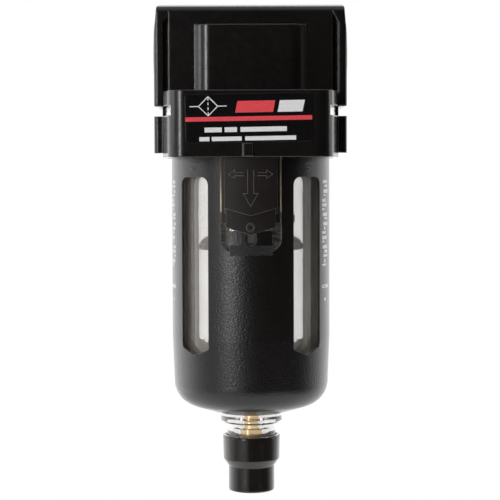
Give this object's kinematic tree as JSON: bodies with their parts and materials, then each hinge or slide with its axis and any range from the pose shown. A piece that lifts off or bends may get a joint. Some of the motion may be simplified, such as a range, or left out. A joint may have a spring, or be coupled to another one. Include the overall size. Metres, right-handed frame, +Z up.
{
  "type": "compressed air filter",
  "caption": "Black inline compressed air filter: square ported head, round bowl guard with window slots over a clear bowl, front lock button and a turn drain knob below.",
  "frame": {"origin": "centre of the inlet port's mouth, on the face of the left port boss", "axes": "+Z up along the bowl axis, +X along the air's path from inlet to outlet, -Y towards the front with the label and the lock"},
  "size_m": [0.071, 0.0705, 0.1817],
  "materials": {
    "head_paint": "semi-gloss black paint on a die casting",
    "guard_paint": "satin black textured powder coat on sheet steel",
    "label": "gloss printed film",
    "white_plastic": "moulded acetal",
    "inner_plastic": "moulded black plastic",
    "lock_plastic": "fine grained dark plastic",
    "knob_plastic": "smooth moulded black plastic",
    "clear_plastic": "clear moulded polycarbonate",
    "filter_medium": "open sintered grain",
    "seal_rubber": "matte nitrile",
    "brass": "turned",
    "steel": "bright zinc plate"
  },
  "bodies": {
    "head_unit": {"head": "head_paint", "nameplate": "label", "deflector": "white_plastic", "element_gasket_upper": "seal_rubber", "filter_element": "filter_medium", "element_gasket_lower": "seal_rubber", "element_retainer": "inner_plastic", "baffle": "inner_plastic", "element_stud": "steel", "stud_nut": "brass"},
    "bowl_unit": {"bowl_guard": "guard_paint", "bowl": "clear_plastic", "bowl_o_ring": "seal_rubber", "drain_bush": "brass", "lock_spring": "steel"},
    "lock_unit": {"lock_button": "lock_plastic"},
    "valve_unit": {"drain_valve": "brass", "drain_seal": "seal_rubber", "drain_stem_seal": "seal_rubber"},
    "knob_unit": {"drain_knob": "knob_plastic", "drain_clip": "steel"}
  },
  "joints": [
    {"name": "bowl_turn", "type": "hinge", "parent": "head_unit", "child": "bowl_unit", "pos_m": [0.0355, 0, -0.03], "axis": [0, 0, 1], "range_deg": [-45, 45]},
    {"name": "lock_slide", "type": "slide", "parent": "bowl_unit", "child": "lock_unit", "axis": [0, 0, -1], "range_m": [0, 0.0045], "stiffness_N_per_m": 800, "springref_m": -0.003, "deforming": ["lock_spring"]},
    {"name": "drain_turn", "type": "hinge", "parent": "valve_unit", "child": "knob_unit", "pos_m": [0.0355, 0, -0.15], "axis": [0, 0, 1], "range_deg": [0, 180]},
    {"name": "drain_lift", "type": "slide", "parent": "bowl_unit", "child": "valve_unit", "axis": [0, 0, -1], "range_m": [0, 0.00125]}
  ],
  "couplings": [
    {"joint": "drain_turn", "follows": "drain_lift", "rad_per_m": 2513.3}
  ]
}
